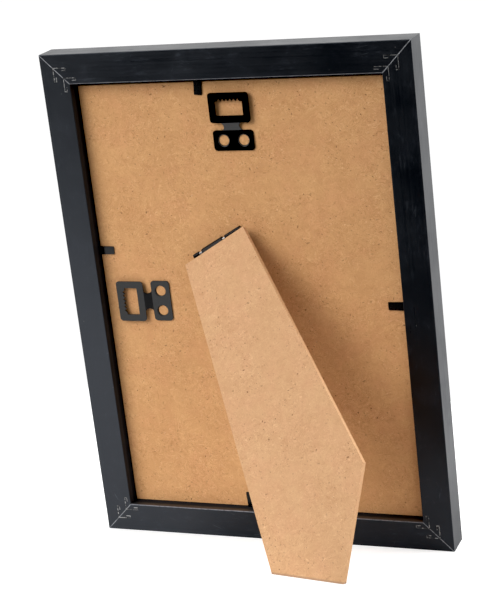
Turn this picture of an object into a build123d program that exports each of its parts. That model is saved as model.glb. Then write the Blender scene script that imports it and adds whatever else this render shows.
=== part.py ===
"""Easel back photo frame for an A4 print, standing in portrait on its strut.

The frame is drawn as it is seen from behind: x to the right, y up the frame and z out of its
back face. The stand plane carries that view into the leaning pose. The floor is the XY plane,
the front faces -Y and the origin lies under the middle of the whole stand.
"""

import os
from math import cos, radians, sin, tan

from build123d import *

# Print, glass and back panel
print_width = 210.0
print_height = 297.0
print_thickness = 0.5
glass_thickness = 2.0
panel_thickness = 3.0
rebate_room = 2.0  # the rebate stands clear of the print by this on every side
stack_room = 0.2  # the glass and panel stand out past the print by this on every side
stack_lift = 0.5  # from the bottom rail up to the glass, print and panel
stack_left = 0.6  # the glass, print and panel lie this far to the left of the middle

# Moulded rails
rail_width = 20.0
frame_depth = 20.0
lip_width = 5.0
lip_thickness = 6.0
front_edge_radius = 1.0
back_edge_radius = 0.4

# V nails across each mitre
v_nail_leg = 9.0
v_nail_thickness = 0.5
v_nail_height = 10.0
v_nail_hook = 1.6
v_nail_return = 3.0
v_nail_outer_place = 9.1  # from both outer sides of the corner to the point of the V
v_nail_inner_place = 15.8
v_nail_sink = 0.1
v_nail_clearance = 0.05

# Stand: how far the frame leans back upright and on its side, and how the strut opens
lean_angle = 15.0
side_lean_angle = 19.4
strut_open_angle = 27.5

# Strut
strut_thickness = 3.0
strut_top_width = 51.3
strut_flare_angle = 5.7
strut_top_setback = 2.8  # from the hinge pin to the middle of the strut's top edge
strut_skew_angle = 1.42  # between the hinge pin and the strut's top edge

# Hinge between the panel and the strut
hinge_left = 19.6  # from the middle of the frame to the middle of the strut's top
hinge_rise = 190.1  # from the lower edge of the panel to the middle of the strut's top
hinge_slant = 29.5
hinge_width = 40.5
hinge_shift = 0.75  # along the pin, from the middle of the strut's top to the middle of the hinge
leaf_length = 15.0
leaf_thickness = 0.8
pin_diameter = 1.6
pin_clearance = 0.05
left_knuckle = 4.5
middle_knuckle = 17.5
knuckle_gap = 2.8
heel_reach = 1.8  # the strut leaf's heel reaches this far past the pin and stops on the panel
heel_gap = 0.15
leaf_hole_diameter = 3.0
leaf_hole_spacing = 24.0
leaf_hole_drop = 9.0

# Pierced collars that hold hangers and leaves in the board
collar_wall = 0.7
collar_depth = 2.0
collar_clearance = 0.05

# Sawtooth hangers
hanger_width = 28.1
hanger_thickness = 0.9
hanger_raise = 2.0
hanger_corner_radius = 2.2
loop_height = 19.8  # the raised plate with the toothed window
neck_width = 14.0
neck_waist = 10.8
neck_length = 5.2
foot_height = 13.5  # the flat plate with the two collars
window_width = 18.8
window_height = 9.2
window_sill = 4.8
window_corner_radius = 0.8
tooth_count = 6
tooth_pitch = 2.6
tooth_depth = 1.8
hanger_hole_diameter = 7.0
hanger_rim_radius = 0.8
hanger_hole_spacing = 13.9
portrait_hanger_margin = 6.9  # from the panel's top edge
portrait_hanger_shift = 0.9
landscape_hanger_margin = 8.65  # from the panel's left edge
landscape_hanger_shift = 0.3  # up from half the panel's height

# Bending tabs that hold the panel in
tab_width = 5.8
tab_tip_width = 5.4
tab_tip_radius = 0.5
tab_thickness = 0.6
tab_bend_gap = 1.0  # from the rebate wall to the bend
tab_root_gap = 0.05
tab_lift = 0.15  # from the panel to the tab
tang_length = 7.0
tang_clearance = 0.05
# Tab places along each rail from its middle, counter-clockwise seen from behind
top_tab_place = 19.3
left_tab_place = -34.5
bottom_tab_place = -17.6
right_tab_place = -2.4
# How far each tab reaches out of its rebate wall, and how far it is turned as it was driven in
top_tab_reach = 11.5
left_tab_reach = 11.0
bottom_tab_reach = 11.0
right_tab_reach = 12.6
top_tab_turn = -5.0
left_tab_turn = 0.0
bottom_tab_turn = 3.5
right_tab_turn = 0.0

# Sizes that follow
opening_width = print_width + 2 * rebate_room
opening_height = print_height + 2 * rebate_room
outer_width = opening_width + 2 * rail_width
outer_height = opening_height + 2 * rail_width
stack_width = print_width + 2 * stack_room
stack_height = print_height + 2 * stack_room
stack_bottom = rail_width + stack_lift
stack_top = stack_bottom + stack_height
glass_front = lip_thickness - frame_depth
print_front = glass_front + glass_thickness
panel_front = print_front + print_thickness
panel_back = panel_front + panel_thickness
knuckle_radius = pin_diameter / 2 + pin_clearance + leaf_thickness
middle_start = left_knuckle + knuckle_gap
right_start = middle_start + middle_knuckle + knuckle_gap
right_knuckle = hinge_width - right_start
pin_level = panel_back + knuckle_radius
hanger_height = loop_height + neck_length + foot_height

lean = radians(lean_angle)
side_lean = radians(side_lean_angle)
slant = radians(hinge_slant)
opened = radians(strut_open_angle)
rounding_share = cos(lean) + sin(lean) - 1  # how much of an edge radius the lean takes off


def stand_at(shift):
    """Back face plane of the leaning frame, its origin at the middle of the lower back edge."""
    edge_drop = back_edge_radius * rounding_share
    return Plane(origin=(0, shift, -edge_drop), x_dir=(-1, 0, 0), z_dir=(0, cos(lean), -sin(lean)))


def toward(frame, x, y, z):
    """Direction in the view from behind."""
    return frame.x_dir * x + frame.y_dir * y + frame.z_dir * z


def spot(frame, x, y, z):
    """Point in the view from behind."""
    return frame.origin + toward(frame, x, y, z)


def strut_plane(frame):
    """Inner face of the open strut: x along the hinge pin, y up the strut from the pin."""
    along = toward(frame, cos(slant), sin(slant), 0)
    outward = toward(frame, -sin(slant) * sin(opened), cos(slant) * sin(opened), cos(opened))
    pin = spot(frame, -hinge_left, stack_bottom + hinge_rise, pin_level)
    return Plane(origin=pin + outward * knuckle_radius, x_dir=along, z_dir=outward)


def side_floor(frame):
    """Floor under the frame when it stands on its right side, facing the frame."""
    edge = spot(frame, outer_width / 2, 0, 0)
    return Plane(origin=edge, z_dir=toward(frame, -cos(side_lean), 0, -sin(side_lean)))


def foot_reach(frame):
    """How far behind the frame the point of the strut's foot stands."""
    foot_line = strut_plane(frame).offset(strut_thickness).intersect(Plane.XY)
    return foot_line.intersect(side_floor(frame)).Y


front_reach = frame_depth * cos(lean) - front_edge_radius * rounding_share
stand = stand_at((front_reach - foot_reach(stand_at(0))) / 2)
strut_inner = strut_plane(stand)

# Middle of each outer edge, the way into the opening and the rail's length
sides = {
    "top": ((0, outer_height), (0, -1), outer_width),
    "left": ((-outer_width / 2, outer_height / 2), (1, 0), outer_height),
    "bottom": ((0, 0), (0, 1), outer_width),
    "right": ((outer_width / 2, outer_height / 2), (-1, 0), outer_height),
}
# Place, reach and turn of each side's tab
tabs = {
    "top": (top_tab_place, top_tab_reach, top_tab_turn),
    "left": (left_tab_place, left_tab_reach, left_tab_turn),
    "bottom": (bottom_tab_place, bottom_tab_reach, bottom_tab_turn),
    "right": (right_tab_place, right_tab_reach, right_tab_turn),
}
# Outer corners of the back face, each with the direction of the rail that its x axis follows
corners = {
    "top_left": ((-outer_width / 2, outer_height), (0, -1)),
    "bottom_left": ((-outer_width / 2, 0), (1, 0)),
    "bottom_right": ((outer_width / 2, 0), (0, 1)),
    "top_right": ((outer_width / 2, outer_height), (-1, 0)),
}


def section_plane(side):
    """Cross-section of a rail at mid-length: x into the opening, y out of the back face."""
    middle, inward, length = sides[side]
    way = toward(stand, *inward, 0)
    return Plane(origin=spot(stand, *middle, 0), x_dir=way, z_dir=way.cross(stand.z_dir))


def corner_plane(corner):
    """Back face at an outer corner, with both axes running along the rails."""
    place, way = corners[corner]
    return Plane(origin=spot(stand, *place, 0), x_dir=toward(stand, *way, 0), z_dir=stand.z_dir)


def tab_plane(side):
    """Mid-thickness of a tab: x out of the rebate wall, y across the tab, z out of the back."""
    place, reach, turn = tabs[side]
    section = section_plane(side)
    level = panel_back + tab_lift + tab_thickness / 2
    wall = section.origin + section.x_dir * rail_width + section.y_dir * level
    way = section.x_dir.rotate(Axis((0, 0, 0), stand.z_dir), turn)
    return Plane(origin=wall + section.z_dir * place, x_dir=way, z_dir=stand.z_dir)


def hanger_plane(middle, upward):
    """Panel face under a hanger: origin at the middle of its upper edge, y toward its upper edge."""
    way = toward(stand, *upward, 0)
    return Plane(origin=spot(stand, *middle, panel_back), x_dir=way.cross(stand.z_dir), z_dir=stand.z_dir)


panel_left = -stack_left - stack_width / 2
panel_middle = stack_bottom + stack_height / 2
hangers = {
    "portrait": hanger_plane((portrait_hanger_shift, stack_top - portrait_hanger_margin), (0, 1)),
    "landscape": hanger_plane(
        (panel_left + landscape_hanger_margin, panel_middle + landscape_hanger_shift), (-1, 0)
    ),
}
hanger_holes = [
    (-hanger_hole_spacing / 2, foot_height / 2 - hanger_height),
    (hanger_hole_spacing / 2, foot_height / 2 - hanger_height),
]

# Hinge planes: across the pin for the panel and for the strut, and along the panel under the pin
pin_way = strut_inner.x_dir
pin_middle = spot(stand, -hinge_left, stack_bottom + hinge_rise, pin_level) + pin_way * hinge_shift
panel_section = Plane(origin=pin_middle, x_dir=toward(stand, sin(slant), -cos(slant), 0), z_dir=-pin_way)
strut_section = Plane(origin=pin_middle, x_dir=-strut_inner.y_dir, z_dir=-pin_way)
panel_seat = Plane(origin=pin_middle - stand.z_dir * knuckle_radius, x_dir=pin_way, z_dir=stand.z_dir)
leaf_seat = Plane(origin=strut_inner.origin + pin_way * hinge_shift, x_dir=pin_way, z_dir=strut_inner.z_dir)
leaf_holes = [(-leaf_hole_spacing / 2, -leaf_hole_drop), (leaf_hole_spacing / 2, -leaf_hole_drop)]


def knuckle_plane(section, start, length):
    """Mid-plane of a knuckle that starts this far from the left end of the pin."""
    return section.offset((hinge_width - length) / 2 - start)


def save(piece, name):
    """Labels a finished piece and writes it out."""
    piece.part.label = name
    export_step(piece.part, f"parts/{name}.step")


def v_nail_line(place, width):
    """Plan of one V nail inside a sketch: two legs along the rails with turned-back ends."""
    leg_end = place + v_nail_leg
    hook_end = place + v_nail_hook
    with BuildLine() as path:
        Polyline(
            (leg_end - v_nail_return, hook_end),
            (leg_end, hook_end),
            (leg_end, place),
            (place, place),
            (place, leg_end),
            (hook_end, leg_end),
            (hook_end, leg_end - v_nail_return),
        )
    trace(path.line, line_width=width)


def collar_ring(holes, inner_diameter, clearance):
    """Rings of the pierced collars inside a sketch, or of the grooves they sit in."""
    with Locations(*holes):
        Circle(inner_diameter / 2 + collar_wall + clearance)
        Circle(inner_diameter / 2 - clearance, mode=Mode.SUBTRACT)


def make_rail(side):
    """Mitred rail with the rebate, the pockets of its V nails and the slot of its tab."""
    section = section_plane(side)
    length = sides[side][2]
    lip_edge = rail_width + lip_width
    with BuildPart() as rail:
        with BuildSketch(section) as profile:
            with BuildLine():
                Polyline(
                    (0, 0),
                    (rail_width, 0),
                    (rail_width, glass_front),
                    (lip_edge, glass_front),
                    (lip_edge, -frame_depth),
                    (0, -frame_depth),
                    close=True,
                )
            make_face()
            fillet(profile.vertices().group_by(Axis.Y)[0], front_edge_radius)
            fillet(profile.vertices().group_by(Axis.Y)[-1], back_edge_radius)
        extrude(amount=length / 2, both=True)
        for end in (section.z_dir, -section.z_dir):
            corner = section.origin + end * (length / 2)
            split(bisect_by=Plane(origin=corner, z_dir=-section.x_dir - end), keep=Keep.TOP)
        with BuildSketch(*[corner_plane(corner) for corner in corners]):
            for place in (v_nail_outer_place, v_nail_inner_place):
                v_nail_line(place, v_nail_thickness + 2 * v_nail_clearance)
        extrude(amount=-(v_nail_sink + v_nail_height + v_nail_clearance), mode=Mode.SUBTRACT)
        with BuildSketch(tab_plane(side)):
            with Locations((tab_bend_gap, 0)):
                Rectangle(
                    tab_bend_gap + tang_length,
                    tab_width + 2 * tang_clearance,
                    align=(Align.MAX, Align.CENTER),
                )
        extrude(amount=tab_thickness / 2 + tang_clearance, both=True, mode=Mode.SUBTRACT)
    return rail


def make_v_nail(corner, place):
    """V nail driven into the back of a mitre."""
    with BuildPart() as nail:
        with BuildSketch(corner_plane(corner).offset(-v_nail_sink)):
            v_nail_line(place, v_nail_thickness)
        extrude(amount=-v_nail_height)
    return nail


def make_sheet(width, height, front, thickness):
    """Flat sheet that stands in the rebate."""
    foot = spot(stand, -stack_left, stack_bottom, front)
    with BuildPart() as sheet:
        with BuildSketch(Plane(origin=foot, x_dir=stand.x_dir, z_dir=stand.z_dir)):
            Rectangle(width, height, align=(Align.CENTER, Align.MIN))
        extrude(amount=thickness)
    return sheet


def make_hanger(seat):
    """Sawtooth hanger: a raised loop with a toothed window, a sloping neck and a flat foot."""
    neck_top = -loop_height
    neck_bottom = neck_top - neck_length
    neck_middle = neck_top - neck_length / 2
    half_neck = neck_width / 2
    half_waist = neck_waist / 2
    sill = window_sill - loop_height
    window_top = sill + window_height
    half_window = window_width / 2
    first_tooth = -tooth_count * tooth_pitch / 2
    teeth = []
    for tooth in range(tooth_count):
        teeth.append((first_tooth + tooth * tooth_pitch, window_top))
        teeth.append((first_tooth + (tooth + 0.5) * tooth_pitch, window_top + tooth_depth))
    with BuildPart() as hanger:
        with BuildSketch(Plane(origin=seat.origin, x_dir=seat.y_dir, z_dir=seat.x_dir)):
            with BuildLine():
                Polyline(
                    (neck_bottom, 0),
                    (neck_bottom, hanger_thickness),
                    (neck_top, hanger_raise + hanger_thickness),
                    (neck_top, hanger_raise),
                    close=True,
                )
            make_face()
        extrude(amount=neck_width / 2, both=True)
        with BuildSketch(seat):
            with BuildLine():
                left = ThreePointArc((-half_neck, neck_top), (-half_waist, neck_middle), (-half_neck, neck_bottom))
                right = ThreePointArc((half_neck, neck_bottom), (half_waist, neck_middle), (half_neck, neck_top))
                Line(left @ 1, right @ 0)
                Line(right @ 1, left @ 0)
            make_face()
        extrude(amount=hanger_raise + hanger_thickness, mode=Mode.INTERSECT)
        with BuildSketch(seat):
            with Locations((0, neck_bottom - foot_height / 2)):
                RectangleRounded(hanger_width, foot_height, hanger_corner_radius)
        extrude(amount=hanger_thickness)
        with Locations(seat.offset(hanger_thickness)):
            with Locations(*hanger_holes):
                Hole(hanger_hole_diameter / 2, depth=hanger_thickness)
        rims = hanger.edges(Select.LAST).group_by(Axis(seat.origin, seat.z_dir))[-1]
        fillet(rims, hanger_rim_radius)
        with BuildSketch(seat):
            collar_ring(hanger_holes, hanger_hole_diameter, 0)
        extrude(amount=-collar_depth)
        with BuildSketch(seat.offset(hanger_raise)):
            with Locations((0, -loop_height / 2)):
                RectangleRounded(hanger_width, loop_height, hanger_corner_radius)
            with BuildSketch(mode=Mode.SUBTRACT) as window:
                with BuildLine():
                    Polyline(
                        (-half_window, sill),
                        (-half_window, window_top),
                        *teeth,
                        (-first_tooth, window_top),
                        (half_window, window_top),
                        (half_window, sill),
                        close=True,
                    )
                make_face()
                fillet(window.vertices().group_by(Axis.Y)[0], window_corner_radius)
        extrude(amount=hanger_thickness)
    return hanger


def make_tang(side):
    """Driven-in end of a tab, inside its slot in the rebate wall."""
    front = tab_bend_gap - tab_thickness / 2 - tab_root_gap
    length = tang_length - tang_clearance + front
    with BuildPart() as tang:
        with BuildSketch(tab_plane(side)):
            with Locations((front - length / 2, 0)):
                Rectangle(length, tab_width)
        extrude(amount=tab_thickness / 2, both=True)
    return tang


def make_blade(side):
    """Bending end of a tab, lying on the panel, with a round root at the bend."""
    seat = tab_plane(side)
    reach = tabs[side][1]
    bend = Plane(origin=seat.origin + seat.x_dir * tab_bend_gap, x_dir=seat.x_dir, z_dir=-seat.y_dir)
    half_root = tab_width / 2
    half_tip = tab_tip_width / 2
    with BuildPart() as blade:
        with BuildSketch(seat) as plan:
            with BuildLine():
                Polyline(
                    (tab_bend_gap, half_root),
                    (reach, half_tip),
                    (reach, -half_tip),
                    (tab_bend_gap, -half_root),
                    close=True,
                )
            make_face()
            fillet(plan.vertices().group_by(Axis.X)[-1], tab_tip_radius)
        extrude(amount=tab_thickness / 2, both=True)
        with BuildSketch(bend):
            Circle(tab_thickness / 2)
        extrude(amount=half_root, both=True)
    return blade


os.makedirs("parts", exist_ok=True)

for side in sides:
    save(make_rail(side), f"{side}_rail")
    save(make_tang(side), f"{side}_tab_tang")
    save(make_blade(side), f"{side}_tab_blade")

for corner in corners:
    save(make_v_nail(corner, v_nail_outer_place), f"{corner}_outer_v_nail")
    save(make_v_nail(corner, v_nail_inner_place), f"{corner}_inner_v_nail")

save(make_sheet(stack_width, stack_height, glass_front, glass_thickness), "glass_pane")
save(make_sheet(print_width, print_height, print_front, print_thickness), "print_sheet")

# Back panel with the grooves of every collar
panel_foot = spot(stand, -stack_left, stack_bottom, panel_back)
with BuildPart() as back_panel:
    with BuildSketch(Plane(origin=panel_foot, x_dir=stand.x_dir, z_dir=stand.z_dir)):
        Rectangle(stack_width, stack_height, align=(Align.CENTER, Align.MIN))
    extrude(amount=-panel_thickness)
    with BuildSketch(*hangers.values()):
        collar_ring(hanger_holes, hanger_hole_diameter, collar_clearance)
    extrude(amount=-(collar_depth + collar_clearance), mode=Mode.SUBTRACT)
    with BuildSketch(panel_seat):
        collar_ring(leaf_holes, leaf_hole_diameter, collar_clearance)
    extrude(amount=-(collar_depth + collar_clearance), mode=Mode.SUBTRACT)
save(back_panel, "back_panel")

for name, seat in hangers.items():
    save(make_hanger(seat), f"{name}_hanger")

# Hinge leaf on the panel: the outer knuckles, the sheet below them and two collars
with BuildPart() as panel_leaf:
    for start, length in ((0, left_knuckle), (right_start, right_knuckle)):
        with BuildSketch(knuckle_plane(panel_section, start, length)):
            Circle(knuckle_radius)
            with Locations((0, -knuckle_radius)):
                Rectangle(strut_top_setback, leaf_thickness, align=(Align.MIN, Align.MIN))
            Circle(knuckle_radius - leaf_thickness, mode=Mode.SUBTRACT)
        extrude(amount=length / 2, both=True)
    with BuildSketch(panel_section):
        with Locations((strut_top_setback, -knuckle_radius)):
            Rectangle(leaf_length - strut_top_setback, leaf_thickness, align=(Align.MIN, Align.MIN))
    extrude(amount=hinge_width / 2, both=True)
    with BuildSketch(panel_seat):
        with Locations(*leaf_holes):
            Circle(leaf_hole_diameter / 2)
    extrude(amount=leaf_thickness, mode=Mode.SUBTRACT)
    with BuildSketch(panel_seat):
        collar_ring(leaf_holes, leaf_hole_diameter, 0)
    extrude(amount=-collar_depth)
save(panel_leaf, "hinge_panel_leaf")

# Hinge leaf on the strut: the middle knuckle with a heel that stops on the panel, the sheet and two collars
with BuildPart() as strut_leaf:
    with BuildSketch(knuckle_plane(panel_section, middle_start, middle_knuckle)):
        with Locations((0, heel_gap - knuckle_radius)):
            Rectangle(heel_reach, leaf_thickness, align=(Align.MAX, Align.MIN))
    extrude(amount=middle_knuckle / 2, both=True)
    with BuildSketch(knuckle_plane(strut_section, middle_start, middle_knuckle)):
        Circle(knuckle_radius)
        with Locations((0, knuckle_radius)):
            Rectangle(strut_top_setback, leaf_thickness, align=(Align.MIN, Align.MAX))
    extrude(amount=middle_knuckle / 2, both=True)
    with BuildSketch(strut_section):
        with Locations((strut_top_setback, knuckle_radius)):
            Rectangle(leaf_length - strut_top_setback, leaf_thickness, align=(Align.MIN, Align.MAX))
    extrude(amount=hinge_width / 2, both=True)
    with BuildSketch(strut_section):
        Circle(knuckle_radius - leaf_thickness)
    extrude(amount=hinge_width / 2, both=True, mode=Mode.SUBTRACT)
    with BuildSketch(leaf_seat):
        with Locations(*leaf_holes):
            Circle(leaf_hole_diameter / 2)
    extrude(amount=-leaf_thickness, mode=Mode.SUBTRACT)
    with BuildSketch(leaf_seat):
        collar_ring(leaf_holes, leaf_hole_diameter, 0)
    extrude(amount=collar_depth)
save(strut_leaf, "hinge_strut_leaf")

with BuildPart() as hinge_pin:
    with BuildSketch(panel_section):
        Circle(pin_diameter / 2)
    extrude(amount=hinge_width / 2, both=True)
save(hinge_pin, "hinge_pin")

# Strut: a flared board, cut off by the floor of the upright and of the sideways stand
half_top = strut_top_width / 2
half_blank = half_top + outer_height * tan(radians(strut_flare_angle))
top_way = pin_way.rotate(Axis((0, 0, 0), strut_inner.z_dir), strut_skew_angle)
top_middle = strut_inner.origin - strut_inner.y_dir * strut_top_setback
with BuildPart() as easel_strut:
    with BuildSketch(Plane(origin=top_middle, x_dir=top_way, z_dir=strut_inner.z_dir)):
        with BuildLine():
            Polyline(
                (-half_top, 0),
                (half_top, 0),
                (half_blank, -outer_height),
                (-half_blank, -outer_height),
                close=True,
            )
        make_face()
    extrude(amount=strut_thickness)
    split(bisect_by=Plane.XY, keep=Keep.TOP)
    split(bisect_by=side_floor(stand), keep=Keep.TOP)
    with BuildSketch(leaf_seat):
        collar_ring(leaf_holes, leaf_hole_diameter, collar_clearance)
    extrude(amount=collar_depth + collar_clearance, mode=Mode.SUBTRACT)
save(easel_strut, "easel_strut")
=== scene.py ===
import math

import bpy
from mathutils import Matrix, Vector


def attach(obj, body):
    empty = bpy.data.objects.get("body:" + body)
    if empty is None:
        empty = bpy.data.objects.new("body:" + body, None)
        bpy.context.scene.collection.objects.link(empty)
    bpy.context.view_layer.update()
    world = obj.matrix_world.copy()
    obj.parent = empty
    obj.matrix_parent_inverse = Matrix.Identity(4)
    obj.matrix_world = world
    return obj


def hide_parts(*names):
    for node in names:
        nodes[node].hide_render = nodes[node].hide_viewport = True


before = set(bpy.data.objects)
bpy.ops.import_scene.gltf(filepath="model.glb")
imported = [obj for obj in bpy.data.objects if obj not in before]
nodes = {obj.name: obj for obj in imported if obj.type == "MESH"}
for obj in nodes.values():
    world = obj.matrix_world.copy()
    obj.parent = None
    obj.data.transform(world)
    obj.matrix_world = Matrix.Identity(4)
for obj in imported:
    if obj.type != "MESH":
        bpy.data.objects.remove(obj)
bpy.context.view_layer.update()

# Frame axes, in metres: x to the right as seen from behind, y up along the leaning frame, z out of its back face.
LEAN = math.radians(15.0)
EDGE_RADIUS = 0.0004
ORIGIN = Vector((0.0, -0.0465782, -EDGE_RADIUS * (math.cos(LEAN) + math.sin(LEAN) - 1.0)))
AXIS_X = Vector((-1.0, 0.0, 0.0))
AXIS_Y = Vector((0.0, math.sin(LEAN), math.cos(LEAN)))
AXIS_Z = Vector((0.0, math.cos(LEAN), -math.sin(LEAN)))
STRUT_FACE = Vector((0.2274, 0.9608, 0.1586))
WORLD_ZERO = Vector()
WORLD_UP = Vector((0.0, 0.0, 1.0))

# Sizes of the rails for masks, in millimetres, and the depths, widths and heights over which masks set in or fade
HALF_W = 127.0
HALF_H = 170.5
RAIL_W = 20.0
BACK_FACE = (-0.5, -0.15)
LIP = (-14.6, -13.9)
SEAM_HALF = (0.18, 0.48)
# Heights over the floor, in millimetres, over which the painted contact shade on the boards' foot fades out
FOOT_SHADE_HEIGHTS = (0.5, 1.8)


def srgb(red, green, blue):
    """Linear colour of an 8-bit display colour."""
    def line(v):
        v = v / 255.0
        return v / 12.92 if v <= 0.04045 else ((v + 0.055) / 1.055) ** 2.4
    return (line(red), line(green), line(blue), 1.0)


WHITE = (1.0, 1.0, 1.0, 1.0)
DEEP_BLACK = srgb(2, 2, 3)

# Boards: base, dark, pale and warm colour, then what lies in them
PANEL_COLOURS = (srgb(210, 160, 109), srgb(174, 122, 76), srgb(230, 185, 136), srgb(208, 151, 106))
STRUT_COLOURS = (srgb(206, 163, 121), srgb(180, 133, 92), srgb(228, 188, 148), srgb(208, 158, 120))
BARK = srgb(98, 57, 27)
CHIP = srgb(240, 200, 158)
# Colour of the painted contact shade where the boards meet the floor
FOOT_PAINTED_SHADE = srgb(132, 108, 92)
# Matted fibres: turn in the face's plane in radians, and seed
FIBRES = ((0.35, 11.0), (-0.9, 37.0), (1.5, 71.0), (2.4, 97.0))
# Loose strands: noise scale per millimetre, and seed
STRANDS = ((0.22, 13.0), (0.30, 59.0))
# Specks: cells per millimetre, turn, scale along it, least and greatest radius in cells, strength, colour
SPECKS = (
    (0.19, 0.3, 0.5, 0.05, 0.15, 0.8, BARK),
    (0.30, 1.3, 0.55, 0.06, 0.18, 0.8, BARK),
    (0.52, -0.6, 0.6, 0.09, 0.26, 0.75, BARK),
    (0.40, 0.9, 0.5, 0.07, 0.22, 0.4, CHIP),
)
# How far fibres are swept aside and specks frayed, in millimetres
SWIRL = 26.0
FRAY = 1.6

# Foil: its black, and the marks on it
FOIL_BLACK = srgb(4, 5, 7)
FOIL_RUBBED = srgb(12, 14, 18)
FOIL_SCUFFED = srgb(34, 38, 44)
FOIL_SCRATCHED = srgb(88, 92, 98)
# Painted highlight along the level rails' inner back edges
FOIL_EDGE_HIGHLIGHT = srgb(112, 114, 120)
FOIL_SHEEN = (0.80, 0.87, 1.0, 1.0)
MITRE_SEAM = srgb(156, 158, 162)
DUST_SPECK = srgb(120, 120, 120)
# Painted light on the level rails' rebate walls
REBATE_PAINTED_LIGHT = srgb(66, 64, 64)
# Hair scratches: turn, seed, and the noise level from which one shows
SCRATCHES = ((0.16, 5.0, 0.72), (-0.42, 29.0, 0.735), (1.1, 53.0, 0.75))

# Metal, glass and paper
LACQUER_HAZE = srgb(8, 8, 9)
# Painted reflection that makes the sloped faces of pressed steel paler
LACQUER_PAINTED_SHEEN = srgb(44, 44, 45)
WIRE_DARK = srgb(150, 150, 150)
WIRE_PALE = srgb(205, 205, 205)
NAIL_STAINED = srgb(22, 23, 25)
NAIL_BARE = srgb(166, 166, 166)
GLASS_DARK = (0.10, 0.14, 0.12, 1.0)
GLASS_PALE = (0.14, 0.18, 0.16, 1.0)
GLASS_IOR = 2.8
PAPER_DARK = srgb(242, 240, 234)
PAPER_PALE = srgb(248, 247, 242)
PAPER_FELT = srgb(228, 225, 217)


class Shader:
    """A Principled material with short ways to add the nodes that drive it."""

    def __init__(self, name):
        self.mat = bpy.data.materials.new(name)
        self.mat.use_nodes = True
        self.tree = self.mat.node_tree
        self.tree.nodes.clear()
        out = self.tree.nodes.new("ShaderNodeOutputMaterial")
        self.bsdf = self.tree.nodes.new("ShaderNodeBsdfPrincipled")
        self.tree.links.new(self.bsdf.outputs["BSDF"], out.inputs["Surface"])
        self.coord = self.tree.nodes.new("ShaderNodeTexCoord").outputs["Object"]

    def put(self, socket, value):
        """Link a socket to another one, or set its value."""
        if isinstance(value, bpy.types.NodeSocket):
            self.tree.links.new(value, socket)
        else:
            socket.default_value = value

    def set(self, **values):
        """Inputs of the Principled shader by name, with _ for a space."""
        for name, value in values.items():
            self.put(self.bsdf.inputs[name.replace("_", " ")], value)

    def math(self, operation, a, b=0.0, c=0.0):
        node = self.tree.nodes.new("ShaderNodeMath")
        node.operation = operation
        self.put(node.inputs[0], a)
        self.put(node.inputs[1], b)
        self.put(node.inputs[2], c)
        return node.outputs[0]

    def along(self, axis, origin=ORIGIN):
        """Distance of the shaded point from origin along axis, in millimetres."""
        node = self.tree.nodes.new("ShaderNodeVectorMath")
        node.operation = "SUBTRACT"
        self.put(node.inputs[0], self.coord)
        node.inputs[1].default_value = origin
        dot = self.tree.nodes.new("ShaderNodeVectorMath")
        dot.operation = "DOT_PRODUCT"
        self.put(dot.inputs[0], node.outputs[0])
        dot.inputs[1].default_value = axis * 1000.0
        return dot.outputs["Value"]

    def axes(self):
        """The shaded point's place along the frame's three axes, in millimetres."""
        return self.along(AXIS_X), self.along(AXIS_Y), self.along(AXIS_Z)

    def facing(self, axis):
        """How squarely the surface faces axis, 0 to 1, on either side."""
        dot = self.tree.nodes.new("ShaderNodeVectorMath")
        dot.operation = "DOT_PRODUCT"
        self.put(dot.inputs[0], self.tree.nodes.new("ShaderNodeTexCoord").outputs["Normal"])
        dot.inputs[1].default_value = axis
        return self.math("ABSOLUTE", dot.outputs["Value"])

    def vector(self, x, y, z):
        node = self.tree.nodes.new("ShaderNodeCombineXYZ")
        self.put(node.inputs[0], x)
        self.put(node.inputs[1], y)
        self.put(node.inputs[2], z)
        return node.outputs[0]

    def turned(self, x, y, z, turn, long, thin):
        """Coordinates turned in the face's plane, then scaled by long and thin along the turned axes."""
        cos, sin = math.cos(turn), math.sin(turn)
        u = self.math("ADD", self.math("MULTIPLY", x, cos * long), self.math("MULTIPLY", y, sin * long))
        v = self.math("ADD", self.math("MULTIPLY", x, -sin * thin), self.math("MULTIPLY", y, cos * thin))
        return self.vector(u, v, z)

    def noise(self, vector, scale, detail=2.0, roughness=0.5, distortion=0.0):
        node = self.tree.nodes.new("ShaderNodeTexNoise")
        self.put(node.inputs["Vector"], vector)
        node.inputs["Scale"].default_value = scale
        node.inputs["Detail"].default_value = detail
        node.inputs["Roughness"].default_value = roughness
        node.inputs["Distortion"].default_value = distortion
        return node.outputs["Fac"]

    def cells(self, vector, scale):
        """Distance from the nearest cell's centre, and two random numbers of that cell."""
        node = self.tree.nodes.new("ShaderNodeTexVoronoi")
        self.put(node.inputs["Vector"], vector)
        node.inputs["Scale"].default_value = scale
        parts = self.tree.nodes.new("ShaderNodeSeparateColor")
        self.put(parts.inputs[0], node.outputs["Color"])
        return node.outputs["Distance"], parts.outputs[0], parts.outputs[1]

    def span(self, value, low, high, to_low=0.0, to_high=1.0):
        """A smooth step from to_low to to_high as value goes from low to high."""
        node = self.tree.nodes.new("ShaderNodeMapRange")
        node.interpolation_type = "SMOOTHSTEP"
        self.put(node.inputs["Value"], value)
        node.inputs["From Min"].default_value = low
        node.inputs["From Max"].default_value = high
        node.inputs["To Min"].default_value = to_low
        node.inputs["To Max"].default_value = to_high
        return node.outputs["Result"]

    def mix(self, share, a, b):
        """Colour a with a share of colour b."""
        node = self.tree.nodes.new("ShaderNodeMix")
        node.data_type = "RGBA"
        self.put(node.inputs[0], share)
        self.put(node.inputs[6], a)
        self.put(node.inputs[7], b)
        return node.outputs[2]

    def bump(self, height, strength, distance):
        node = self.tree.nodes.new("ShaderNodeBump")
        node.inputs["Strength"].default_value = strength
        node.inputs["Distance"].default_value = distance
        self.put(node.inputs["Height"], height)
        self.put(self.bsdf.inputs["Normal"], node.outputs["Normal"])


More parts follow.
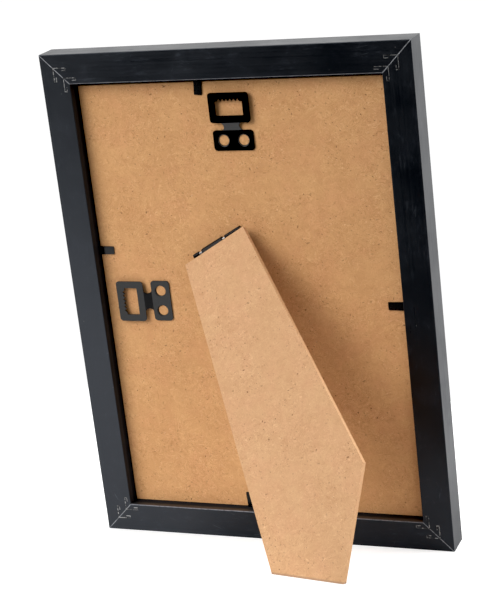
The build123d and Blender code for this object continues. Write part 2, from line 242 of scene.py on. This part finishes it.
def fibreboard(name, base, dark, pale, warm, face):
    """Pressed fibreboard: matted fibres, bark specks, a faint cloudiness, darker cut edges and painted contact shade
    on the foot where it meets the floor.
    """
    s = Shader(name)
    x, y, z = s.axes()
    spot = s.vector(x, y, z)

    # Cloudiness, from broad to fine
    cloud = s.noise(spot, 0.030, 3.0, 0.55)
    mottle = s.noise(spot, 0.17, 3.0, 0.6, 0.4)
    grain = s.noise(spot, 0.95, 3.0, 0.62)
    colour = s.mix(s.span(cloud, 0.3, 0.7, 0.0, 0.22), base, dark)
    hue = s.noise(s.vector(y, z, x), 0.06, 3.0, 0.6)
    colour = s.mix(s.span(hue, 0.4, 0.7, 0.0, 0.5), colour, warm)
    colour = s.mix(s.span(mottle, 0.35, 0.7, 0.0, 0.22), colour, dark)
    colour = s.mix(s.span(grain, 0.28, 0.50, 0.28, 0.0), colour, dark)
    colour = s.mix(s.span(grain, 0.52, 0.74, 0.0, 0.20), colour, pale)

    # Matted fibres, swept aside, and loose strands in patches
    bent_x = s.math("MULTIPLY_ADD", s.noise(spot, 0.11, 2.0, 0.5), SWIRL, x)
    bent_y = s.math("MULTIPLY_ADD", s.noise(s.vector(y, z, x), 0.11, 2.0, 0.5), SWIRL, y)
    fibres = []
    for turn, seed in FIBRES:
        strip = s.turned(bent_x, bent_y, s.math("ADD", z, seed), turn, 0.34, 1.9)
        fibres.append(s.noise(strip, 0.62, 2.0, 0.5))
    colour = s.mix(s.span(fibres[0], 0.60, 0.74, 0.0, 0.34), colour, pale)
    colour = s.mix(s.span(fibres[1], 0.62, 0.76, 0.0, 0.34), colour, pale)
    colour = s.mix(s.span(fibres[2], 0.62, 0.74, 0.0, 0.55), colour, dark)
    colour = s.mix(s.span(fibres[3], 0.62, 0.74, 0.0, 0.55), colour, dark)
    patch = s.span(s.noise(s.vector(z, x, y), 0.045, 3.0, 0.6), 0.40, 0.62, 1.0, 0.25)
    strands = []
    for scale, seed in STRANDS:
        bend = s.noise(s.vector(bent_x, bent_y, s.math("ADD", z, seed)), scale, 2.0, 0.6)
        line = s.span(s.math("ABSOLUTE", s.math("SUBTRACT", bend, 0.5)), 0.02, 0.07, 1.0, 0.0)
        strands.append(s.math("MULTIPLY", s.math("MULTIPLY", line, patch), s.span(grain, 0.44, 0.56)))
    colour = s.mix(s.math("MULTIPLY", strands[0], 0.6), colour, dark)
    colour = s.mix(s.math("MULTIPLY", strands[1], 0.26), colour, pale)

    # Frayed specks of bark, and pale chips
    rough_x = s.math("MULTIPLY_ADD", grain, FRAY, x)
    rough_y = s.math("MULTIPLY_ADD", s.noise(s.vector(y, x, z), 1.1, 2.0, 0.6), FRAY, y)
    for scale, turn, long, small, large, share, tint in SPECKS:
        reach, chance, tone = s.cells(s.turned(rough_x, rough_y, z, turn, long, 1.2), scale)
        size = s.math("MULTIPLY_ADD", s.math("POWER", chance, 2.5), large - small, small)
        speck = s.span(s.math("DIVIDE", reach, size), 0.6, 1.1, 1.0, 0.0)
        speck = s.math("MULTIPLY", speck, s.math("MULTIPLY_ADD", tone, share * 0.7, share * 0.3))
        speck = s.math("MULTIPLY", speck, s.span(patch, 0.25, 1.0, 0.4, 1.1))
        colour = s.mix(speck, colour, tint)

    # Cut edges, and painted contact shade on the last two millimetres above the floor
    edge = s.span(s.facing(face), 0.3, 0.7, 0.15, 0.0)
    fuzz = s.noise(spot, 3.2, 2.0, 0.6)
    colour = s.mix(s.math("MULTIPLY", edge, s.span(fuzz, 0.3, 0.7, 0.4, 1.0)), colour, dark)
    foot = s.span(s.along(WORLD_UP, WORLD_ZERO), *FOOT_SHADE_HEIGHTS, 0.5, 0.0)
    colour = s.mix(foot, colour, FOOT_PAINTED_SHADE)

    s.set(Base_Color=colour, Roughness=s.span(grain, 0.3, 0.7, 0.72, 0.9), Specular_IOR_Level=0.3)
    relief = s.math("ADD", s.math("MULTIPLY", grain, 0.5), s.math("ADD", fibres[0], fibres[2]))
    relief = s.math("ADD", relief, s.math("MULTIPLY", s.math("SUBTRACT", strands[1], strands[0]), 0.3))
    s.bump(relief, 0.4, 0.00022)
    return s.mat


def foil(name, upright):
    """Black satin foil: rolling streaks, rubbed patches, hair scratches, dust and pale mitre seams, with painted
    light, highlights and shade at the rebates and inner back edges.
    """
    s = Shader(name)
    x, y, z = s.axes()
    u, v = (y, x) if upright else (x, y)
    spot = s.vector(x, y, z)

    # Wear and dust on every face
    cloud = s.noise(spot, 0.022, 3.0, 0.6)
    rubbed = s.noise(spot, 0.06, 4.0, 0.62, 0.8)
    streak = s.noise(s.vector(s.math("MULTIPLY", u, 0.012), v, z), 0.9, 3.0, 0.6)
    colour = s.mix(s.span(rubbed, 0.45, 0.75), FOIL_BLACK, FOIL_RUBBED)
    scuff = s.noise(s.turned(u, v, z, 0.08, 0.22, 1.0), 0.45, 4.0, 0.7, 0.5)
    scuffed = s.math("MULTIPLY", s.span(scuff, 0.52, 0.70), s.span(rubbed, 0.42, 0.62))
    colour = s.mix(s.math("MULTIPLY", scuffed, 0.3 if upright else 0.5), colour, FOIL_SCUFFED)
    for turn, seed, low in SCRATCHES:
        hair = s.noise(s.turned(u, v, s.math("ADD", z, seed), turn, 0.05, 1.0), 1.5, 1.0, 0.4, 0.15)
        scratch = s.math("MULTIPLY", s.span(hair, low, low + 0.05), s.span(rubbed, 0.52, 0.68))
        colour = s.mix(s.math("MULTIPLY", scratch, 0.35), colour, FOIL_SCRATCHED)
    reach, _, tone = s.cells(spot, 0.10)
    dust = s.math("MULTIPLY", s.span(reach, 0.018, 0.034, 0.55, 0.0), s.span(tone, 0.3, 0.6))
    colour = s.mix(dust, colour, DUST_SPECK)

    # Mitre seams on the back face
    wear_and_highlight_noise = s.noise(spot, 0.35, 3.0, 0.65)
    from_side = s.math("SUBTRACT", HALF_W, s.math("ABSOLUTE", x))
    from_end = s.math("SUBTRACT", HALF_H, s.math("ABSOLUTE", s.math("SUBTRACT", y, HALF_H)))
    inside = s.math("SUBTRACT", from_side if upright else from_end, RAIL_W)
    back = s.span(z, *BACK_FACE)
    seam = s.span(s.math("ABSOLUTE", s.math("SUBTRACT", from_side, from_end)), *SEAM_HALF, 1.0, 0.0)
    seam = s.math("MULTIPLY", s.math("MULTIPLY", seam, back), s.span(wear_and_highlight_noise, 0.25, 0.6, 0.2, 0.9))
    colour = s.mix(seam, colour, MITRE_SEAM)

    # Rebate walls: matte black paint, and painted shade that darkens them toward black with depth; on the level
    # rails, painted light on the walls toward the back edges and a painted highlight along those edges
    rebate = s.math("MULTIPLY", s.span(inside, -0.5, -0.1), s.span(z, *LIP))
    deep_paint_and_shade = s.math("MULTIPLY", rebate, s.span(z, -6.5, -0.3, 1.0, 0.0))
    rough = s.math("ADD", s.span(cloud, 0.3, 0.7, 0.30, 0.38), s.span(streak, 0.3, 0.7, -0.03, 0.03))
    rough = s.math("MULTIPLY_ADD", scuffed, 0.12, rough)
    if upright:
        rough = s.math("MAXIMUM", rough, s.math("MULTIPLY", rebate, 0.7))
        # Walls and inner edge rounding mixed toward black: matte black paint on the walls, painted shade over the
        # rounding
        colour = s.mix(s.math("MULTIPLY", rebate, 0.7), colour, DEEP_BLACK)
    else:
        # Painted light on the level rails' rebate walls, growing toward their back edges
        rebate_light = s.math("MULTIPLY", rebate, s.span(z, -6.0, -0.6, 0.0, 0.6))
        colour = s.mix(rebate_light, colour, REBATE_PAINTED_LIGHT)
        # Painted highlight along the level rails' inner back edges, broken up by noise
        near = s.math("MAXIMUM", s.math("ABSOLUTE", inside), s.math("ABSOLUTE", z))
        edge_highlight = s.math("MULTIPLY", s.span(near, 0.35, 0.7, 1.0, 0.0), s.span(wear_and_highlight_noise, 0.28, 0.6, 0.25, 0.9))
        colour = s.mix(edge_highlight, colour, FOIL_EDGE_HIGHLIGHT)
    # Painted shade: the rebate walls darken toward black with depth
    colour = s.mix(deep_paint_and_shade, colour, DEEP_BLACK)
    rough = s.math("MAXIMUM", rough, s.math("MULTIPLY", deep_paint_and_shade, 0.95))

    s.set(Base_Color=colour, Roughness=rough, Specular_IOR_Level=0.5, Specular_Tint=FOIL_SHEEN)
    s.bump(streak, 0.12, 0.0002)
    return s.mat


def lacquer(name, low, high, level):
    """Black stove lacquer on pressed steel, between two roughnesses, duller at its bends, where sloped faces also
    get a painted reflection that makes them paler.
    """
    s = Shader(name)
    peel = s.noise(s.coord, 900.0, 3.0, 0.6)
    cloud = s.noise(s.coord, 120.0, 3.0, 0.6)
    colour = s.mix(cloud, DEEP_BLACK, LACQUER_HAZE)
    square = s.facing(AXIS_Z)
    bend_dull_and_sheen = s.math("MULTIPLY", s.span(square, 0.90, 0.97, 1.0, 0.0), s.span(square, 0.6, 0.7))
    # Painted reflection: sloped faces are mixed toward a paler grey
    colour = s.mix(bend_dull_and_sheen, colour, LACQUER_PAINTED_SHEEN)
    rough = s.math("MAXIMUM", s.span(cloud, 0.3, 0.7, low, high), s.math("MULTIPLY", bend_dull_and_sheen, 0.45))
    s.set(Base_Color=colour, Roughness=rough, Specular_IOR_Level=level)
    s.bump(peel, 0.06, 0.0002)
    return s.mat


def steel(name):
    """Bright steel wire with a cloudy polish."""
    s = Shader(name)
    cloud = s.noise(s.coord, 900.0, 3.0, 0.6)
    colour = s.mix(cloud, WIRE_DARK, WIRE_PALE)
    s.set(Base_Color=colour, Roughness=s.span(cloud, 0.3, 0.7, 0.25, 0.42), Metallic=1.0)
    return s.mat


def nail(name):
    """Edge of a pressed nail: bare steel where the driver struck it, stained black elsewhere."""
    s = Shader(name)
    x, y, z = s.axes()
    bare = s.noise(s.vector(x, y, z), 0.42, 3.0, 0.65)
    share = s.span(bare, 0.44, 0.60)
    colour = s.mix(share, NAIL_STAINED, NAIL_BARE)
    s.set(Base_Color=colour, Roughness=s.span(bare, 0.4, 0.6, 0.5, 0.34), Metallic=share)
    return s.mat


def glass(name):
    """Clear float glass, thin enough to let light straight through, with faint finger smudges and a green tinge."""
    s = Shader(name)
    x, y, z = s.axes()
    smudge = s.noise(s.turned(x, y, z, 0.6, 0.7, 1.3), 0.03, 3.0, 0.55, 1.2)
    s.set(Base_Color=s.mix(smudge, GLASS_DARK, GLASS_PALE), Roughness=s.span(smudge, 0.45, 0.75, 0.02, 0.07))
    # Alpha weakens the reflection too, and the raised IOR makes up for part of that
    s.set(Alpha=s.span(smudge, 0.4, 0.8, 0.10, 0.115), IOR=GLASS_IOR)
    return s.mat


def paper(name):
    """Plain off-white paper with a felt texture."""
    s = Shader(name)
    x, y, z = s.axes()
    felt = s.noise(s.turned(x, y, z, 0.7, 1.0, 1.0), 0.20, 1.0, 0.5, 0.6)
    cloud = s.noise(s.turned(x, y, z, -0.4, 1.0, 1.0), 0.02, 2.0, 0.5)
    colour = s.mix(cloud, PAPER_DARK, PAPER_PALE)
    colour = s.mix(s.span(felt, 0.35, 0.65, 0.12, 0.0), colour, PAPER_FELT)
    s.set(Base_Color=colour, Roughness=s.span(felt, 0.3, 0.7, 0.78, 0.9))
    s.bump(felt, 0.15, 0.00005)
    return s.mat


panel_board = fibreboard("panel_board", *PANEL_COLOURS, AXIS_Z)
strut_board = fibreboard("strut_board", *STRUT_COLOURS, STRUT_FACE)
level_foil = foil("level_foil", upright=False)
upright_foil = foil("upright_foil", upright=True)
gloss_black = lacquer("gloss_black", low=0.09, high=0.16, level=0.36)
satin_black = lacquer("satin_black", low=0.18, high=0.28, level=0.3)
dull_black = lacquer("dull_black", low=0.45, high=0.60, level=0.1)
bright_steel = steel("bright_steel")
nail_steel = nail("nail_steel")
clear_glass = glass("clear_glass")
print_paper = paper("print_paper")


def dress(name, material):
    """Give a node one material all over."""
    slots = nodes[name].material_slots
    if not slots:
        nodes[name].data.materials.append(material)
    for slot in slots:
        slot.material = material


# Finish of each node, by the first ending that its name has; the hinge leaves have none of these and are dull
FINISHES = (
    ("left_rail", upright_foil),
    ("right_rail", upright_foil),
    ("_rail", level_foil),
    ("_v_nail", nail_steel),
    ("hinge_pin", bright_steel),
    ("back_panel", panel_board),
    ("easel_strut", strut_board),
    ("glass_pane", clear_glass),
    ("print_sheet", print_paper),
    ("_hanger", gloss_black),
    ("_tab_blade", satin_black),
    ("_tab_tang", satin_black),
)
for name in nodes:
    dress(name, next((finish for ending, finish in FINISHES if name.endswith(ending)), dull_black))

# The print is drawn a hair thinner than its solid, so that its face and the glass's don't share a plane
PRINT_GAP = 0.00006
print_mesh = nodes["print_sheet"].data.copy()
print_mesh.name = "thin_print"
depths = [v.co.dot(AXIS_Z) for v in print_mesh.vertices]
middle = (min(depths) + max(depths)) / 2.0
for v in print_mesh.vertices:
    v.co -= AXIS_Z * math.copysign(PRINT_GAP, v.co.dot(AXIS_Z) - middle)
thin_print = bpy.data.objects.new("thin_print", print_mesh)
bpy.context.scene.collection.objects.link(thin_print)
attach(thin_print, "frame")
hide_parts("print_sheet")

# Floor: a pale table top with a dim band along its near edge, which runs slantwise, and two brighter pools that only
# show in reflections. Band and pools go from and to millimetres, and the pools have a strength at each.
FLOOR_SIDE = 0.80
FLOOR_FAR = -0.80
FLOOR_NEAR = 0.28
FLOOR_SLANT = 0.80
FLOOR_DROP = -0.0001
FLOOR_BAND = (110.0, 150.0)
POOL_LEFT = (15.0, 85.0, 0.0, 0.7)
POOL_BEHIND = (120.0, 300.0, 0.0, 0.3)
TABLE_DARK = (0.66, 0.66, 0.66, 1.0)
TABLE_PALE = (0.70, 0.70, 0.70, 1.0)
BAND_DIM = (0.12, 0.12, 0.12, 1.0)
# Glow that the camera sees on the floor, and what the band adds to it
FLOOR_GLOW = 0.55
BAND_GLOW = 0.35
floor_mesh = bpy.data.meshes.new("floor")
floor_mesh.from_pydata(
    [(-FLOOR_SIDE, FLOOR_FAR, FLOOR_DROP), (FLOOR_SIDE, FLOOR_FAR, FLOOR_DROP),
     (FLOOR_SIDE, FLOOR_NEAR + FLOOR_SIDE * FLOOR_SLANT, FLOOR_DROP),
     (-FLOOR_SIDE, FLOOR_NEAR - FLOOR_SIDE * FLOOR_SLANT, FLOOR_DROP)],
    [], [(0, 1, 2, 3)])
floor = bpy.data.objects.new("floor", floor_mesh)
bpy.context.scene.collection.objects.link(floor)
pale_floor = Shader("pale_floor")
floor_cloud = pale_floor.noise(pale_floor.coord, 3.0, 2.0)
path = pale_floor.tree.nodes.new("ShaderNodeLightPath")
band = pale_floor.span(pale_floor.along(Vector((-FLOOR_SLANT, 1.0, 0.0)), WORLD_ZERO), *FLOOR_BAND)
lit_left = pale_floor.span(pale_floor.along(Vector((1.0, 0.0, 0.0)), WORLD_ZERO), *POOL_LEFT)
lit_behind = pale_floor.span(pale_floor.along(Vector((0.0, -1.0, 0.0)), WORLD_ZERO), *POOL_BEHIND)
pool = pale_floor.math("MAXIMUM", lit_left, lit_behind)
pool = pale_floor.math("MULTIPLY", pool, path.outputs["Is Glossy Ray"])
pool = pale_floor.math("MULTIPLY", pool, pale_floor.math("SUBTRACT", 1.0, band))
table_top = pale_floor.mix(floor_cloud, TABLE_DARK, TABLE_PALE)
seen_glow = pale_floor.math("MULTIPLY_ADD", band, BAND_GLOW, FLOOR_GLOW)
pale_floor.set(
    Base_Color=pale_floor.mix(band, table_top, BAND_DIM),
    Roughness=0.7,
    Emission_Color=WHITE,
    Emission_Strength=pale_floor.math("MULTIPLY_ADD", path.outputs["Is Camera Ray"], seen_glow, pool))
floor_mesh.materials.append(pale_floor.mat)


def area_light(name, place, aim, width, height, watts):
    """An area light at place that shines toward aim and is not seen itself."""
    data = bpy.data.lights.new(name, "AREA")
    data.shape = "RECTANGLE"
    data.size = width
    data.size_y = height
    data.energy = watts
    lamp = bpy.data.objects.new(name, data)
    lamp.location = place
    lamp.visible_camera = False
    lamp.rotation_euler = (Vector(aim) - Vector(place)).to_track_quat("-Z", "Y").to_euler()
    bpy.context.scene.collection.objects.link(lamp)


# Name, place, aim, width, height and watts
LIGHTS = (
    ("key", (1.0, 1.5, 0.85), (0.0, 0.0, 0.17), 1.4, 1.4, 35.5),
    ("side", (-1.3, -0.1, 1.2), (0.0, 0.05, 0.17), 1.0, 1.0, 21.0),
    ("rim", (-1.2, 0.25, 0.4), (0.0, 0.03, 0.15), 0.5, 0.5, 3.6),
    ("card", (-0.27, 0.17, 0.02), (-0.09, 0.0, 0.05), 0.14, 0.14, 0.13),
)
for light in LIGHTS:
    area_light(*light)

# World: a bright sweep behind the object, a soft glow above, a dark room elsewhere, and plain white to the camera.
# Each glow has its axis, the cosines at which it sets in and is full, and the strengths there.
SWEEP = ((0.0, -0.94, 0.34), -0.1, 0.5, 0.03, 1.15)
CEILING = ((0.0, 0.0, 1.0), -0.05, 0.35, 0.03, 0.5)
SEEN_WHITE = 1.05
world = bpy.data.worlds.new("studio")
bpy.context.scene.world = world
world.use_nodes = True
sky = world.node_tree
background = sky.nodes["Background"]
toward = sky.nodes.new("ShaderNodeTexCoord").outputs["Generated"]


def glow(axis, low, high, dim, strong):
    """World strength that rises from dim to strong as the ray turns toward axis."""
    turn = sky.nodes.new("ShaderNodeVectorMath")
    turn.operation = "DOT_PRODUCT"
    turn.inputs[1].default_value = axis
    sky.links.new(toward, turn.inputs[0])
    rise = sky.nodes.new("ShaderNodeMapRange")
    rise.interpolation_type = "SMOOTHSTEP"
    rise.inputs["From Min"].default_value = low
    rise.inputs["From Max"].default_value = high
    rise.inputs["To Min"].default_value = dim
    rise.inputs["To Max"].default_value = strong
    sky.links.new(turn.outputs["Value"], rise.inputs["Value"])
    return rise.outputs["Result"]


stronger = sky.nodes.new("ShaderNodeMath")
stronger.operation = "MAXIMUM"
sky.links.new(glow(*SWEEP), stronger.inputs[0])
sky.links.new(glow(*CEILING), stronger.inputs[1])
seen = sky.nodes.new("ShaderNodeMix")
sky.links.new(sky.nodes.new("ShaderNodeLightPath").outputs["Is Camera Ray"], seen.inputs[0])
sky.links.new(stronger.outputs[0], seen.inputs[2])
seen.inputs[3].default_value = SEEN_WHITE
sky.links.new(seen.outputs[0], background.inputs["Strength"])
background.inputs["Color"].default_value = WHITE

# Display: plain, with the deepest blacks clipped
BLACK_LEVEL = 0.006
view = bpy.context.scene.view_settings
view.view_transform = "Standard"
view.use_curve_mapping = True
view.curve_mapping.black_level = (BLACK_LEVEL, BLACK_LEVEL, BLACK_LEVEL)
view.curve_mapping.update()

# Camera at the photograph's angle
camera_data = bpy.data.cameras.new("camera")
camera_data.sensor_fit = "AUTO"
camera_data.sensor_width = 36.0
camera_data.lens = 107.05
camera_data.clip_start = 0.01
camera_data.clip_end = 50.0
camera = bpy.data.objects.new("camera", camera_data)
bpy.context.scene.collection.objects.link(camera)
forward = Vector((0.3802231, -0.92207229, -0.07220168))
right = Vector((-0.92478363, -0.38022752, -0.01422181))
up = Vector((0.01433953, -0.07217839, 0.99728865))
place = Vector((-0.45183, 1.08841, 0.25073))
camera.matrix_world = Matrix((
    (right.x, up.x, -forward.x, place.x),
    (right.y, up.y, -forward.y, place.y),
    (right.z, up.z, -forward.z, place.z),
    (0.0, 0.0, 0.0, 1.0)))
bpy.context.scene.camera = camera

bpy.context.view_layer.update()
